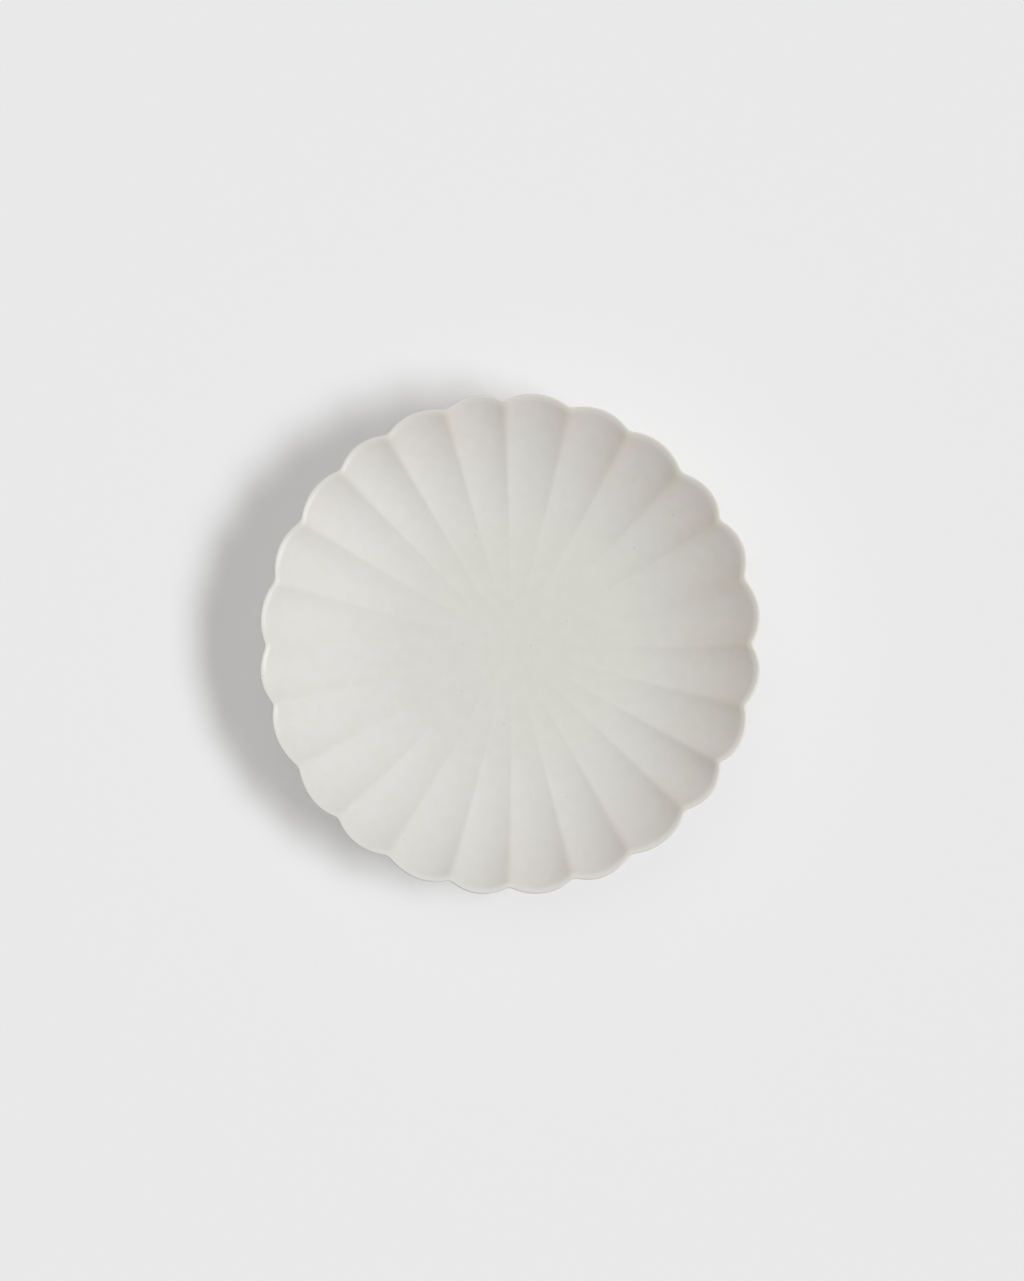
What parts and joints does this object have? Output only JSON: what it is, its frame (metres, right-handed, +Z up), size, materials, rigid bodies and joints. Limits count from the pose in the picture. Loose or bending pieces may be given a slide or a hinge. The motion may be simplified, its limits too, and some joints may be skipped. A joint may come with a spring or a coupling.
{
  "type": "dessert plate",
  "caption": "Round dessert plate with a gently dished well, a fluted wall of petals, a thin scalloped lip and a low foot ring.",
  "frame": {"origin": "centre of the foot ring, on the plane that the plate stands on", "axes": "+Z up along the plate's axis, towards the well; +X through the middle of one petal"},
  "size_m": [0.16, 0.16, 0.0245],
  "materials": {
    "glaze": "silky matte warm white glaze",
    "bare_clay": "unglazed fine clay on the edge that stands on the table, glazed above it"
  },
  "bodies": {
    "root": {"dish": "glaze", "foot_ring": "bare_clay"}
  },
  "joints": []
}
